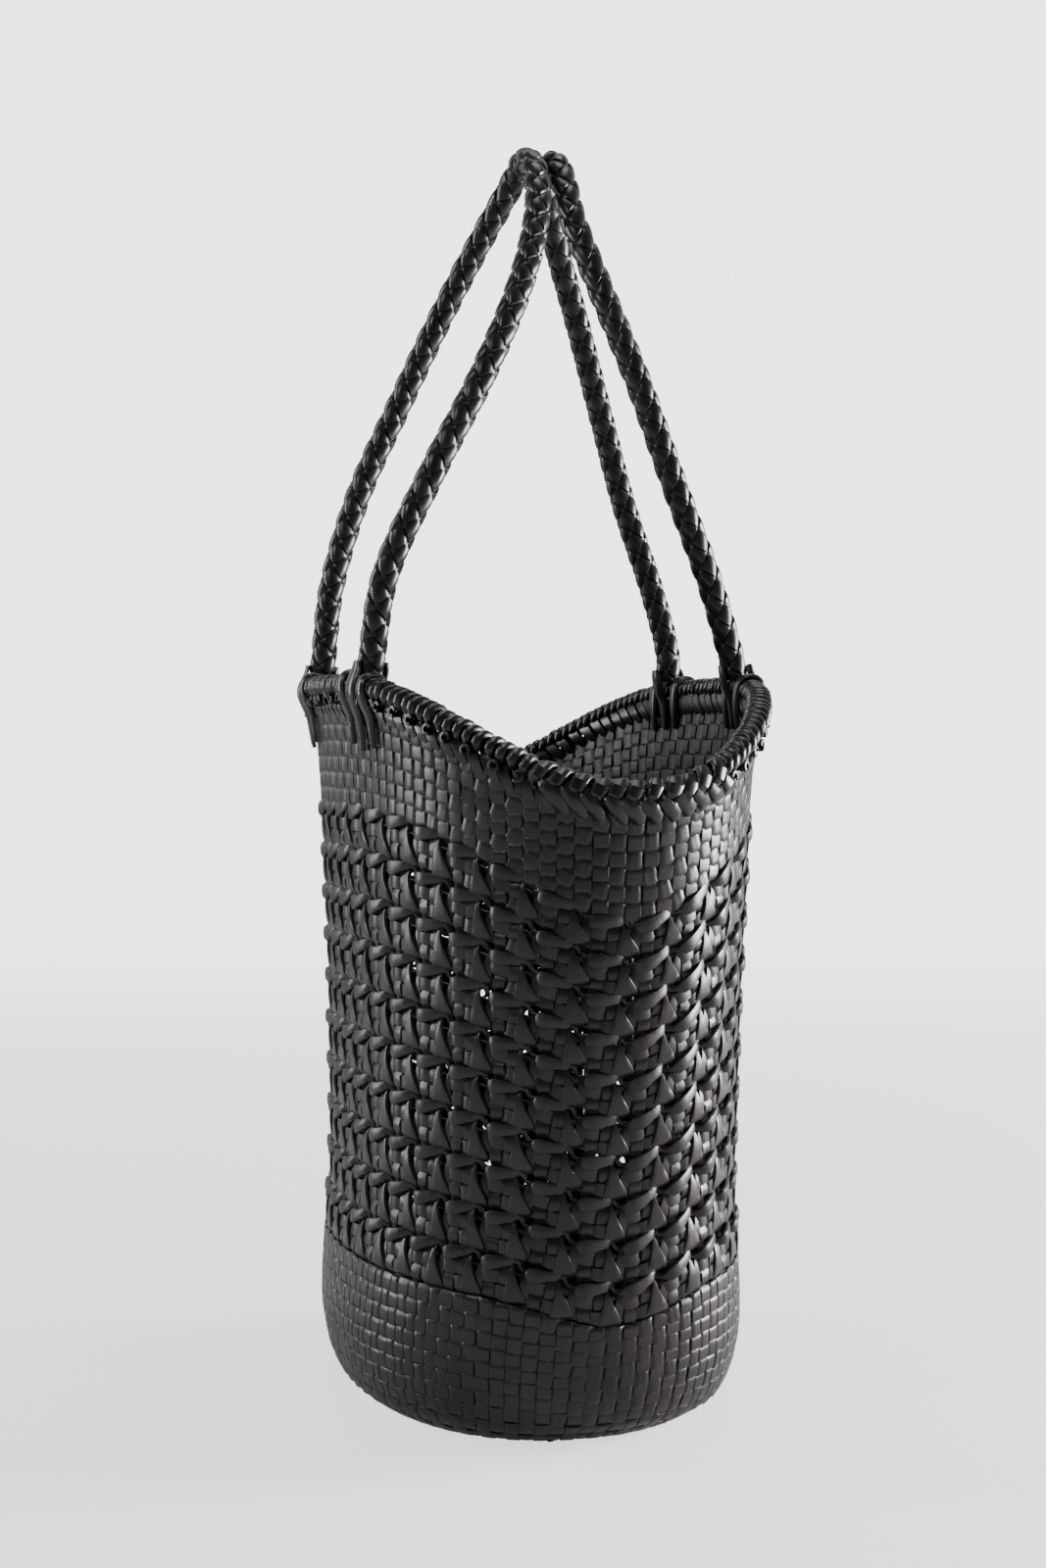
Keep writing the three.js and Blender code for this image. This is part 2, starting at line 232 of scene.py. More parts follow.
class Strips:
    """Collects strips of leather and makes one mesh of them."""

    def __init__(self):
        self.points = []
        self.faces = []
        self.edge = []
        self.tone = []
        self.count = 0

    def add(self, middle, normal, half, thickness=STRIP_THICKNESS, closed=False, section=FLAT_SECTION):
        """Strips along middle lines of equal length: middle and normal are (strips, steps, 3)."""
        middle = np.asarray(middle, float)
        strips, steps, _ = middle.shape
        if closed:
            along = np.roll(middle, -1, 1) - np.roll(middle, 1, 1)
        else:
            along = np.gradient(middle, axis=1)
        along = unit_vectors(along)
        across = unit_vectors(np.cross(along, normal))
        rise = unit_vectors(np.cross(across, along))
        half = np.broadcast_to(half, middle.shape[:2])[..., None, None]
        thick = np.broadcast_to(thickness, middle.shape[:2])[..., None, None]
        side = section[:, 0][None, None, :, None]
        lift = section[:, 1][None, None, :, None]
        points = (
            middle[:, :, None, :]
            + across[:, :, None, :] * side * half
            + rise[:, :, None, :] * lift * thick
        )
        size = len(section)
        grid = np.arange(strips * steps * size).reshape(strips, steps, size) + self.count
        here = grid if closed else grid[:, :-1]
        there = np.roll(grid, -1, 1) if closed else grid[:, 1:]
        quads = np.stack([here, there, np.roll(there, -1, 2), np.roll(here, -1, 2)], -1)
        self.points.append(points.reshape(-1, 3))
        self.faces.append(quads.reshape(-1, 4))
        if not closed:
            self.cap(grid[:, 0])
            self.cap(grid[:, -1, ::-1])
        # Share across the half width, which the leather uses to paint the edges paler, partly as a
        # painted highlight
        edge = np.broadcast_to(np.abs(section[:, 0]), (strips, steps, size))
        self.edge.append(edge.reshape(-1))
        tone = np.broadcast_to(draw.random((strips, 1, 1)), (strips, steps, size))
        self.tone.append(tone.reshape(-1))
        self.count += strips * steps * size

    def add_skin(self, points, quads, edge, tone):
        """A surface given by its points and quads."""
        self.points.append(points.reshape(-1, 3))
        self.faces.append(quads.reshape(-1, 4) + self.count)
        self.edge.append(edge.reshape(-1))
        self.tone.append(tone.reshape(-1))
        self.count += edge.size

    def cap(self, rings):
        """Closes strip ends with three quads each."""
        for a, b, c, d in ((0, 1, 6, 7), (1, 2, 5, 6), (2, 3, 4, 5)):
            self.faces.append(rings[:, [a, b, c, d]])

    def make(self, name, material, slot, replaces=()):
        """One mesh of the strips, kept just above the floor."""
        points = np.concatenate(self.points)
        points[:, 2] = np.maximum(points[:, 2], FLOOR_GAP)
        faces = np.concatenate(self.faces)
        mesh = bpy.data.meshes.new(name)
        mesh.vertices.add(len(points))
        mesh.vertices.foreach_set("co", points.reshape(-1))
        mesh.loops.add(faces.size)
        mesh.loops.foreach_set("vertex_index", faces.reshape(-1).astype(np.int32))
        mesh.polygons.add(len(faces))
        mesh.polygons.foreach_set("loop_start", np.arange(0, faces.size, 4, dtype=np.int32))
        mesh.polygons.foreach_set("use_smooth", np.ones(len(faces), bool))
        for label, values in (("edge", self.edge), ("tone", self.tone)):
            field = mesh.attributes.new(label, "FLOAT", "POINT")
            field.data.foreach_set("value", np.concatenate(values).astype(np.float32))
        mesh.update(calc_edges=True)
        mesh.validate()
        mesh.set_sharp_from_angle(angle=SHARP_ANGLE)
        mesh.materials.append(material)
        piece = new_object(name, mesh)
        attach(piece, "root")
        if replaces:
            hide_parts(*replaces)


def shader_input(node, name, value):
    node.inputs[name].default_value = value


COAT_ROUGHNESS = 0.25
TONE_SHARE = 0.4  # of the colour's blend that differs from strip to strip
EDGE_START = 0.85  # share of a strip's half width where its paler cut edge and painted highlight begin
EDGE_ROUGHER = 0.25
GRAIN_DEPTH = 0.15 * MM
MOTTLE_SCALE = 60  # this and the next three are cells to a metre
SHINE_SCALE = 140
CREASE_SCALE = 420
PORE_SCALE = 1300
PORE_SHARE = 0.6


def leather(name, dark, light, roughness, grain, coat, edge_wear_and_highlight):
    """Finished leather strip: mottled colour, fine grain, and rougher cut edges painted paler, partly
    as worn edges and partly as a painted highlight.
    """
    material = bpy.data.materials.new(name)
    material.use_nodes = True
    nodes = material.node_tree.nodes
    links = material.node_tree.links
    shader = nodes["Principled BSDF"]
    shader_input(shader, "Coat Weight", coat)
    shader_input(shader, "Coat Roughness", COAT_ROUGHNESS)
    place = nodes.new("ShaderNodeTexCoord").outputs["Object"]

    def noise(scale, detail):
        node = nodes.new("ShaderNodeTexNoise")
        links.new(place, node.inputs["Vector"])
        shader_input(node, "Scale", scale)
        shader_input(node, "Detail", detail)
        return node.outputs["Fac"]

    def attribute(label):
        node = nodes.new("ShaderNodeAttribute")
        node.attribute_name = label
        return node.outputs["Fac"]

    def combine(operation, a, b):
        node = nodes.new("ShaderNodeMath")
        node.operation = operation
        for socket, value in zip(node.inputs, (a, b)):
            if isinstance(value, (int, float)):
                socket.default_value = value
            else:
                links.new(value, socket)
        return node.outputs[0]

    def remap(value, low, high, to_low, to_high):
        node = nodes.new("ShaderNodeMapRange")
        links.new(value, node.inputs["Value"])
        shader_input(node, "From Min", low)
        shader_input(node, "From Max", high)
        shader_input(node, "To Min", to_low)
        shader_input(node, "To Max", to_high)
        return node.outputs["Result"]

    mottle = remap(noise(MOTTLE_SCALE, 4), 0.3, 0.7, 0, 0.6)
    tone = combine("MULTIPLY", attribute("tone"), TONE_SHARE)
    blend = combine("ADD", mottle, tone)
    # Paler edges: partly worn cut edges, partly a painted highlight along each strip's edges
    edge_wear_and_highlight_mask = remap(attribute("edge"), EDGE_START, 1.0, 0, edge_wear_and_highlight)
    amount = combine("MINIMUM", combine("ADD", blend, edge_wear_and_highlight_mask), 1.0)
    colour = nodes.new("ShaderNodeMix")
    colour.data_type = "RGBA"
    links.new(amount, colour.inputs["Factor"])
    colour.inputs["A"].default_value = (*dark, 1)
    colour.inputs["B"].default_value = (*light, 1)
    links.new(colour.outputs["Result"], shader.inputs["Base Color"])

    rough = remap(noise(SHINE_SCALE, 5), 0.3, 0.7, roughness - 0.07, roughness + 0.09)
    rough = combine("ADD", rough, combine("MULTIPLY", edge_wear_and_highlight_mask, EDGE_ROUGHER))
    links.new(rough, shader.inputs["Roughness"])

    cells = nodes.new("ShaderNodeTexVoronoi")
    cells.feature = "SMOOTH_F1"
    shader_input(cells, "Scale", PORE_SCALE)
    links.new(place, cells.inputs["Vector"])
    pores = combine("MULTIPLY", cells.outputs["Distance"], PORE_SHARE)
    relief = combine("ADD", pores, noise(CREASE_SCALE, 4))
    bump = nodes.new("ShaderNodeBump")
    shader_input(bump, "Strength", grain)
    shader_input(bump, "Distance", GRAIN_DEPTH)
    links.new(relief, bump.inputs["Height"])
    links.new(bump.outputs["Normal"], shader.inputs["Normal"])
    return material


weave_leather = leather(
    "leather_weave", dark=(0.0082, 0.0056, 0.0070), light=(0.0285, 0.0202, 0.0246),
    roughness=0.34, grain=0.3, coat=0.0, edge_wear_and_highlight=0.6,
)
rim_leather = leather(
    "leather_rim", dark=(0.006, 0.0044, 0.0053), light=(0.02, 0.0155, 0.018),
    roughness=0.28, grain=0.25, coat=0.15, edge_wear_and_highlight=0.25,
)
rope_leather = leather(
    "leather_rope", dark=(0.0095, 0.0074, 0.0085), light=(0.024, 0.019, 0.0218),
    roughness=0.31, grain=0.06, coat=0.0, edge_wear_and_highlight=0.1,
)


def laid(share, up, out):
    """Points on the woven wall and their outward normals."""
    place, normal = wall.sample(share, up)
    return place + normal * (MIDDLE_OUT + out)[..., None], normal


# Plain weave: stakes and wefts change sides at every crossing
PLAIN_RELIEF = 0.72 * MM
PLAIN_STEPS = 7
STAKE_HALF = 2.85 * MM
WEFT_HALF = 3.3 * MM
WEFT_RUN = 9  # steps over which a weft keeps its own height
WEFT_SWAY = 0.025  # spreads of a weft's height and a stake's place, as shares of their pitch
STAKE_SWAY = 0.03
DEPTH_SWAY = 0.06 * MM
WEFT_SWELL = 0.03  # how much wider a strip is where it lies on top
STAKE_SWELL = 0.05
WIDTH_SWAY = 0.02


def square_wave(phase):
    """+1 over even crossings and -1 over odd ones, with flat tops."""
    return np.clip(2.0 * np.cos(math.pi * phase), -1, 1)


def plain_band(name, height, rows):
    """Makes the wefts of a band of plain weave and returns its stakes.

    height(share, row) gives the height share of a row's top line.
    """
    wefts = Strips()
    across = np.arange(STAKES * PLAIN_STEPS) / PLAIN_STEPS
    row = np.arange(rows)[:, None]
    share = across[None, :] / STAKES + 0 * row
    over = square_wave(across[None, :] + row)
    sway = draw.normal(0, WEFT_SWAY, (rows, len(across) // WEFT_RUN + 2)).repeat(WEFT_RUN, 1)
    up = height(share, row + 0.5 + sway[:, :len(across)])
    middle, normal = laid(share, up, PLAIN_RELIEF * over + draw.normal(0, DEPTH_SWAY, over.shape))
    wefts.add(middle, normal, WEFT_HALF * (1 + WEFT_SWELL * over), closed=True)
    wefts.make(f"{name}_wefts", weave_leather, "leather_weave")

    stakes = Strips()
    down = np.linspace(0, rows, rows * PLAIN_STEPS + 1)
    stake = np.arange(STAKES)[:, None]
    shift = draw.normal(0, STAKE_SWAY, (STAKES, 1))
    share = (stake + shift) / STAKES + 0 * down
    up = height(share, down[None, :])
    over = -square_wave(stake + down[None, :] - 0.5)
    middle, normal = laid(share, up, PLAIN_RELIEF * over)
    half = STAKE_HALF * (1 + STAKE_SWELL * over + draw.normal(0, WIDTH_SWAY, (STAKES, 1)))
    stakes.add(middle, normal, half)
    return stakes


plain_band("upper_band", upper_height, UPPER_ROWS).make(
    "upper_band_stakes", weave_leather, "leather_weave", ("upper_wall",))
plain_band("lower_band", lower_height, LOWER_ROWS).make(
    "lower_band_stakes", weave_leather, "leather_weave", ("lower_wall",))

# Openwork unit. u runs once round the unit, v down its row, out is from the middle of
# the wall and half is half the strip's width, both in millimetres. Each sway is the
# spread of one of these, and that of the floats' width is a share of it.
WEFT_PLACE_SWAY = 0.008
WEFT_OUT_SWAY = 0.1
UPRIGHT_SWAY = 0.012
FLOAT_DOWN_SWAY = 0.008
FLOAT_OUT_SWAY = 0.12
FLOAT_WIDTH_SWAY = 0.04
Step = namedtuple("Step", "u v out half")
BEAD_WEFT = (
    Step(0.00, 0.17, -1.9, 0.8),
    Step(0.09, 0.20, -1.0, 1.0),
    Step(0.15, 0.19, 0.7, 1.7),
    Step(0.21, 0.17, 1.8, 2.6),
    Step(0.32, 0.14, 2.3, 2.9),
    Step(0.46, 0.10, 2.0, 2.6),
    Step(0.62, 0.05, 1.3, 2.1),
    Step(0.77, 0.00, 0.7, 2.1),
    Step(0.86, -0.03, -0.5, 1.8),
    Step(0.93, 0.04, -1.7, 1.1),
)
SECOND_WEFT = (
    Step(0.00, 0.43, -1.8, 2.3),
    Step(0.10, 0.43, -1.0, 2.5),
    Step(0.17, 0.43, 0.1, 2.6),
    Step(0.25, 0.43, 0.45, 2.7),
    Step(0.42, 0.43, 0.4, 2.7),
    Step(0.50, 0.43, -0.4, 2.5),
    Step(0.60, 0.43, -1.3, 2.4),
    Step(0.76, 0.43, -1.4, 2.3),
    Step(0.90, 0.43, -1.8, 2.3),
)
THIRD_WEFT = (
    Step(0.00, 0.77, -1.8, 2.3),
    Step(0.16, 0.78, -1.5, 2.3),
    Step(0.34, 0.78, -1.4, 2.4),
    Step(0.46, 0.77, -0.9, 2.5),
    Step(0.54, 0.76, 0.1, 2.6),
    Step(0.62, 0.755, 0.45, 2.7),
    Step(0.76, 0.74, 0.4, 2.7),
    Step(0.84, 0.735, -0.5, 2.5),
    Step(0.92, 0.75, -1.5, 2.3),
)
FIRST_STAKE = (
    Step(0.335, 0.0, -1.3, 2.4),
    Step(0.335, 0.14, -1.4, 2.4),
    Step(0.335, 0.43, -1.3, 2.4),
    Step(0.335, 0.57, -0.9, 2.5),
    Step(0.335, 0.66, 0.0, 2.5),
    Step(0.335, 0.72, 0.35, 2.5),
    Step(0.335, 0.84, 0.3, 2.5),
    Step(0.335, 0.92, -0.7, 2.4),
)
SECOND_STAKE = (
    Step(0.67, 0.0, -1.4, 2.3),
    Step(0.67, 0.14, -1.2, 2.3),
    Step(0.67, 0.26, -0.3, 2.4),
    Step(0.67, 0.34, 0.3, 2.5),
    Step(0.67, 0.50, 0.3, 2.5),
    Step(0.67, 0.58, -0.4, 2.4),
    Step(0.67, 0.70, -1.3, 2.3),
    Step(0.67, 0.85, -1.4, 2.3),
)
LEANING_STAKE = (
    Step(-0.18, 0.02, -2.0, 0.4),
    Step(-0.18, 0.10, -0.6, 0.6),
    Step(-0.175, 0.20, 0.5, 0.9),
    Step(-0.165, 0.32, 1.0, 1.4),
    Step(-0.15, 0.46, 1.3, 2.1),
    Step(-0.13, 0.60, 1.3, 3.0),
    Step(-0.11, 0.73, 1.1, 3.9),
    Step(-0.095, 0.84, 0.8, 4.5),
    Step(-0.085, 0.93, -0.3, 4.5),
    Step(-0.08, 1.00, -2.0, 3.5),
)
SPIKE_STAKE = (
    Step(0.10, 0.16, -1.9, 0.5),
    Step(0.10, 0.26, -0.9, 0.9),
    Step(0.09, 0.38, -0.3, 1.4),
    Step(0.07, 0.52, 0.0, 2.0),
    Step(0.05, 0.66, 0.0, 2.6),
    Step(0.04, 0.80, -0.5, 2.8),
    Step(0.04, 0.94, -2.0, 2.4),
)


def columns_of(table):
    """The columns of a table of named rows, as arrays."""
    return [np.array(column) for column in zip(*table)]


def open_weft(strips, table, section):
    """One weft of the unit, closed round the bag, on every row."""
    u, v, out, half = columns_of(table)
    unit = np.repeat(np.arange(UNITS), len(u))[None, :]
    row = np.arange(OPEN_ROWS)[:, None]
    noise = draw.normal(0, 1, (3, OPEN_ROWS, UNITS)).repeat(len(u), 2)
    share = (unit + np.tile(u, UNITS)[None, :] + WEFT_PLACE_SWAY * noise[0]) / UNITS
    down = row + np.tile(v, UNITS)[None, :] + WEFT_PLACE_SWAY * noise[1]
    out = (np.tile(out, UNITS)[None, :] + WEFT_OUT_SWAY * noise[2]) * MM
    middle, normal = laid(share, open_height(share, down), out)
    strips.add(middle, normal, np.tile(half, UNITS)[None, :] * MM, closed=True, section=section)


def open_stake(strips, table):
    """One upright stake of the unit, from the openwork's top to its bottom."""
    u, v, out, half = columns_of(table)
    unit = np.arange(UNITS)[:, None]
    down = (np.arange(OPEN_ROWS)[:, None] + v[None, :]).reshape(-1)
    down = np.append(down, OPEN_ROWS)
    out = np.append(np.tile(out, OPEN_ROWS), out[0])
    half = np.append(np.tile(half, OPEN_ROWS), half[0])
    sway = draw.normal(0, UPRIGHT_SWAY, (UNITS, len(down)))
    share = (unit + u[0] + sway) / UNITS
    up = open_height(share, down[None, :])
    middle, normal = laid(share, up, out[None, :] * MM + 0 * share)
    strips.add(middle, normal, half[None, :] * MM)


def leaning_floats(strips, table):
    """Short strips that run down one row, one for each unit and row."""
    u, v, out, half = columns_of(table)
    cell = np.arange(UNITS * OPEN_ROWS)[:, None]
    noise = draw.normal(0, 1, (4, len(cell), 1))
    share = (cell % UNITS + u[None, :] + UPRIGHT_SWAY * noise[0]) / UNITS
    up = open_height(share, cell // UNITS + v[None, :] + FLOAT_DOWN_SWAY * noise[1])
    middle, normal = laid(share, up, (out[None, :] + FLOAT_OUT_SWAY * noise[2]) * MM)
    strips.add(middle, normal, half[None, :] * MM * (1 + FLOAT_WIDTH_SWAY * noise[3]))


open_wefts = Strips()
open_weft(open_wefts, BEAD_WEFT, BEAD_SECTION)
open_weft(open_wefts, SECOND_WEFT, FLAT_SECTION)
open_weft(open_wefts, THIRD_WEFT, FLAT_SECTION)
open_wefts.make("openwork_wefts", weave_leather, "leather_weave", ("openwork_wall",))
open_stakes = Strips()
for table in (FIRST_STAKE, SECOND_STAKE):
    open_stake(open_stakes, table)
open_stakes.make("openwork_stakes", weave_leather, "leather_weave")
open_floats = Strips()
leaning_floats(open_floats, LEANING_STAKE)
leaning_floats(open_floats, SPIKE_STAKE)
open_floats.make("openwork_leaning_floats", weave_leather, "leather_weave")

# Base: strips plaited flat across the foot
BASE_PITCH = 7.5 * MM
BASE_MIDDLE = 1.7 * MM
BASE_RELIEF = 0.55 * MM
BASE_HALF = 3.72 * MM
BASE_EDGE = (2.2 * MM, 3.5 * MM)  # of the strip on the base's edge: inwards and up
BASE_EDGE_STEPS = 180
BASE_STEPS = 4  # of a strip's line over one pitch
BASE_INSET = 1.6 * MM  # from the wall's foot to the ends of the strips
base_length = HALF_LENGTH * BODY_SECTIONS[0].end - BASE_INSET
base_depth = HALF_DEPTH * BODY_SECTIONS[0].side - BASE_INSET


def base_strips():
    """Strips along and across the base, and one closed strip round its edge."""
    strips = Strips()
    for direction in (0, 1):
        reach, spread = (base_length, base_depth) if direction == 0 else (base_depth, base_length)
        count = int(2 * spread / BASE_PITCH) + 1
        for k in range(count):
            offset = (k - (count - 1) / 2) * BASE_PITCH
            inside = 1 - abs(offset / spread) ** SQUARENESS
            half_run = reach * max(inside, 0) ** (1 / SQUARENESS)
            run = np.linspace(-half_run, half_run, 2 + int(2 * half_run / BASE_PITCH * BASE_STEPS))
            sign = 1 if direction == 0 else -1
            phase = run / BASE_PITCH + k + (0.5 if direction else 0)
            lift = BASE_MIDDLE + sign * BASE_RELIEF * square_wave(phase)
            line = np.zeros((1, len(run), 3))
            line[0, :, direction] = run
            line[0, :, 1 - direction] = offset
            line[0, :, 2] = lift
            normal = np.zeros_like(line)
            normal[..., 2] = 1
            strips.add(line, normal, BASE_HALF)
    inwards, up = BASE_EDGE
    angle = even_angles(np.arange(BASE_EDGE_STEPS) / BASE_EDGE_STEPS)
    x, y = plan(angle, base_length - inwards, base_depth - inwards)
    edge = np.stack([x, y, 0 * x + up], -1)
    strips.add(edge[None], np.array([[[0, 0, 1.0]]]) + 0 * edge, BASE_HALF, closed=True)
    return strips


base_strips().make("woven_base_strips", weave_leather, "leather_weave", ("woven_base",))

# Rim: strip ends folded over the edge in small bumps, over a row of slanting strips and
# curled ends, and two rows of wide crossing folds at each narrow end. out and up are
# from the rim's top middle and half is half a fold's width, all in millimetres. slide is
# in turns of the fold's own pattern.
RIM_BUMPS = 162
RIM_TUCKS = STAKES
RIM_KNOTS = 76
Fold = namedtuple("Fold", "out up slide half")
OVER_FOLD = (
    Fold(0.6, -6.9, -0.45, 1.5),
    Fold(2.9, -5.9, -0.35, 1.9),
    Fold(3.9, -4.3, -0.25, 2.15),
    Fold(3.6, -2.2, -0.1, 2.2),
    Fold(2.1, -0.9, 0.0, 2.2),
    Fold(0.0, -0.5, 0.08, 2.2),
    Fold(-2.1, -1.0, 0.15, 2.2),
    Fold(-3.5, -2.5, 0.25, 2.15),
    Fold(-3.7, -4.4, 0.35, 2.0),
    Fold(-2.4, -6.6, 0.45, 1.5),
)
TUCK_FOLD = (
    Fold(-1.0, -16.0, 0.55, 1.4),
    Fold(0.2, -14.2, 0.4, 2.1),
    Fold(0.6, -11.8, 0.2, 2.5),
    Fold(0.2, -9.2, -0.05, 2.5),
    Fold(-1.4, -6.2, -0.3, 2.0),
)
INNER_FOLD = (
    Fold(-2.0, -4.4, 0.6, 1.8),
    Fold(-3.5, -6.4, 0.35, 2.3),
    Fold(-4.0, -9.0, 0.0, 2.5),
    Fold(-3.7, -11.8, -0.35, 2.4),
    Fold(-2.4, -14.6, -0.6, 1.7),
)
END_UPPER_FOLD = (
    Fold(-2.6, -6.4, 0.6, 2.2),
    Fold(-3.7, -3.6, 0.42, 2.9),
    Fold(-1.8, -0.9, 0.22, 3.15),
    Fold(1.2, -0.5, 0.05, 3.2),
    Fold(3.9, -2.5, -0.15, 3.2),
    Fold(4.6, -5.6, -0.38, 3.0),
    Fold(2.4, -8.6, -0.6, 2.3),
)
END_LOWER_FOLD = (
    Fold(2.0, -5.0, -0.6, 2.3),
    Fold(4.4, -7.0, -0.35, 3.0),
    Fold(4.6, -9.8, 0.0, 3.2),
    Fold(2.9, -12.8, 0.35, 3.0),
    Fold(0.0, -15.2, 0.55, 2.1),
)
END_TURNS = 104  # pitch of the wider folds at the narrow ends, as turns round the rim
END_FOLDS = 11
END_SHARE = 0.052  # share of the way round from a narrow end's middle to the first small bump
BUMP_THICKNESS = 2.0 * MM
RIM_THICKNESS = 1.6 * MM
RIM_MIDDLE_UP = -5.0
KNOT_RADIUS = 2.2 * MM
KNOT_PLACE = Fold(2.8, -9.4, 0.3, 1.5)
KNOT_TURN = math.radians(280)
KNOT_STEPS = 10
KNOT_THICKNESS = 1.1 * MM
KNOT_CURL = 0.035  # share of the radius that each step of a curl loses
KNOT_SWAY = Fold(0.25, 0.4, 0.12, 0)
KNOT_BEND_SWAY = 0.8  # radians
FOLD_SWAY = Fold(0.04, 0.2, 0.06, 0.05)  # out and half as shares of themselves


def rim_place(angle):
    """Place on the rim's top middle, with the outward direction."""
    x, y = plan(angle, HALF_LENGTH, HALF_DEPTH)
    nx = np.sign(x) * np.abs(x / HALF_LENGTH) ** (SQUARENESS - 1) / HALF_LENGTH
    ny = np.sign(y) * np.abs(y / HALF_DEPTH) ** (SQUARENESS - 1) / HALF_DEPTH
    outward = unit_vectors(np.stack([nx, ny, 0 * nx], -1))
    z = BAG_HEIGHT - SADDLE_DIP * dip_share(angle)
    return np.stack([x, y, z], -1), outward


def rim_fold(strips, table, turns, offset, section, thickness, run_of_turns=None):
    """Strips across the rim, with their backs away from its middle."""
    out, up, slide, half = columns_of(table)
    turn = (np.arange(turns) if run_of_turns is None else run_of_turns)[:, None]
    noise = draw.normal(0, 1, (4, len(turn), 1))
    share = (turn + offset + slide[None, :] + FOLD_SWAY.slide * noise[0]) / turns
    place, outward = rim_place(even_angles(share))
    drop = up[None, :] + FOLD_SWAY.up * noise[2]
    middle = place + outward * (out[None, :] * (1 + FOLD_SWAY.out * noise[1]))[..., None] * MM
    middle[..., 2] += drop * MM
    run = np.gradient(np.stack([out, up]), axis=1)
    if (run[1] * out - run[0] * (up - RIM_MIDDLE_UP)).sum() < 0:
        run = -run
    normal = outward * np.broadcast_to(run[1], drop.shape)[..., None]
    normal[..., 2] = -run[0]
    width = half[None, :] * MM * (1 + FOLD_SWAY.half * noise[3])
    strips.add(middle, unit_vectors(normal), width, thickness, section=section)


def rim_knots(strips):
    """Curled strip ends that look out of the recess under the bumps."""
    turn = np.arange(RIM_KNOTS)[:, None]
    noise = draw.normal(0, 1, (4, RIM_KNOTS, 1))
    bend = np.linspace(0, KNOT_TURN, KNOT_STEPS)[None, :] + KNOT_BEND_SWAY * noise[0]
    turn = turn + KNOT_PLACE.slide + KNOT_SWAY.slide * noise[1]
    place, outward = rim_place(even_angles(turn / RIM_KNOTS + 0 * bend))
    along = np.stack([-outward[..., 1], outward[..., 0], 0 * bend], -1)
    upward = np.zeros_like(along)
    upward[..., 2] = 1
    radial = along * np.cos(bend)[..., None] + upward * np.sin(bend)[..., None]
    middle = place + outward * (KNOT_PLACE.out + KNOT_SWAY.out * noise[2])[..., None] * MM
    middle = middle + upward * (KNOT_PLACE.up + KNOT_SWAY.up * noise[3])[..., None] * MM
    middle = middle + radial * KNOT_RADIUS * (1 - KNOT_CURL * np.arange(KNOT_STEPS))[None, :, None]
    strips.add(middle, radial, KNOT_PLACE.half * MM, KNOT_THICKNESS)


def side_turns(turns):
    """Turns of a fold on both long sides, between the narrow ends' wider folds."""
    turn = np.arange(turns)
    away = np.abs(np.mod(turn / turns + 0.25, 0.5) - 0.25)
    return turn[away > END_SHARE]


rim_over = Strips()
rim_fold(rim_over, OVER_FOLD, RIM_BUMPS, 0.0, DOMED_SECTION, BUMP_THICKNESS, side_turns(RIM_BUMPS))
rim_under = Strips()
rim_fold(rim_under, TUCK_FOLD, RIM_TUCKS, 0.5, FLAT_SECTION, RIM_THICKNESS)
rim_fold(rim_under, INNER_FOLD, RIM_TUCKS, 0.2, FLAT_SECTION, RIM_THICKNESS)
rim_knots(rim_under)
for end in (0, END_TURNS // 2):
    end_turns = end + np.arange(END_FOLDS) - END_FOLDS // 2
    rim_fold(rim_under, END_LOWER_FOLD, END_TURNS, 0.5, DOMED_SECTION, RIM_THICKNESS, end_turns)
    rim_fold(rim_over, END_UPPER_FOLD, END_TURNS, 0.0, DOMED_SECTION, RIM_THICKNESS, end_turns)
rim_over.make("rim_plait_over", rim_leather, "leather_rim", ("rim_braid",))
rim_under.make("rim_plait_tucked", rim_leather, "leather_rim")

# Handles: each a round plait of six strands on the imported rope's middle line
ENDS = (("far", -1), ("near", 1))
Handle = namedtuple("Handle", "name side spacing shift")
HANDLES = (Handle("front", -1, 86 * MM, 5 * MM), Handle("back", 1, 80 * MM, 0.0))
FOOT_INSET = 8 * MM
RIM_PROUD = 4.5 * MM
LOOP_GAP = 12.2 * MM
LOOP_SHIFT = 5 * MM
SEAT = 0.3 * MM
Station = namedtuple("Station", "up wide front_far front_near back_far back_near")
HANDLE_STATIONS = (
    Station(0.0, 1.0, 1.0, 1.0, 1.0, 1.0),
    Station(0.055, 1.0, 0.985, 0.985, 1.0, 0.955),
    Station(0.18, 1.08, 0.937, 0.933, 0.915, 0.81),
    Station(0.365, 1.15, 0.78, 0.7, 0.725, 0.56),
    Station(0.55, 1.12, 0.55, 0.423, 0.555, 0.343),
    Station(0.73, 0.95, 0.326, 0.186, 0.36, 0.134),
    Station(0.868, 0.7, 0.145, 0.055, 0.175, 0.01),
    Station(0.945, 0.46, 0.045, 0.012, 0.07, 0.0),
    Station(0.986, 0.24, 0.0, 0.0, 0.015, 0.0),
)
PLAIT_PAIRS = 3
TILE_LENGTH = 11 * MM  # of rope in which a strand goes over and under once
TILE_STATIONS = np.array([-0.5, -0.43, -0.3, -0.15, 0.0, 0.15, 0.3, 0.43])
TILE_RISE = 1.1 * MM
TILE_GROOVE = 0.49  # across a strand: beyond this lies the groove beside it
TILE_CROWN = 0.8  # how much lower a strand lies away from its middle
ARCH_POWER = 0.7
END_TAPER = 0.3  # tiles over which the relief fades at a rope's ends
ROPE_STEPS = 601


def rim_at_x(x, side, out):
    """Point of the rim's top on the front or back at a given x, moved outwards."""
    share = abs(x) / HALF_LENGTH
    place, outward = rim_place(side * math.acos(math.copysign(share ** (SQUARENESS / 2), x)))
    return place + out * outward, outward


def foot_point(x, side):
    """Where a rope's middle line ends on the rim."""
    place, _ = rim_at_x(x, side, RIM_PROUD - FOOT_INSET)
    inner = max(abs(place[0]) - ROPE_RADIUS, 0)
    place[2] = rim_at_x(inner, side, 0)[0][2] + SEAT
    return place


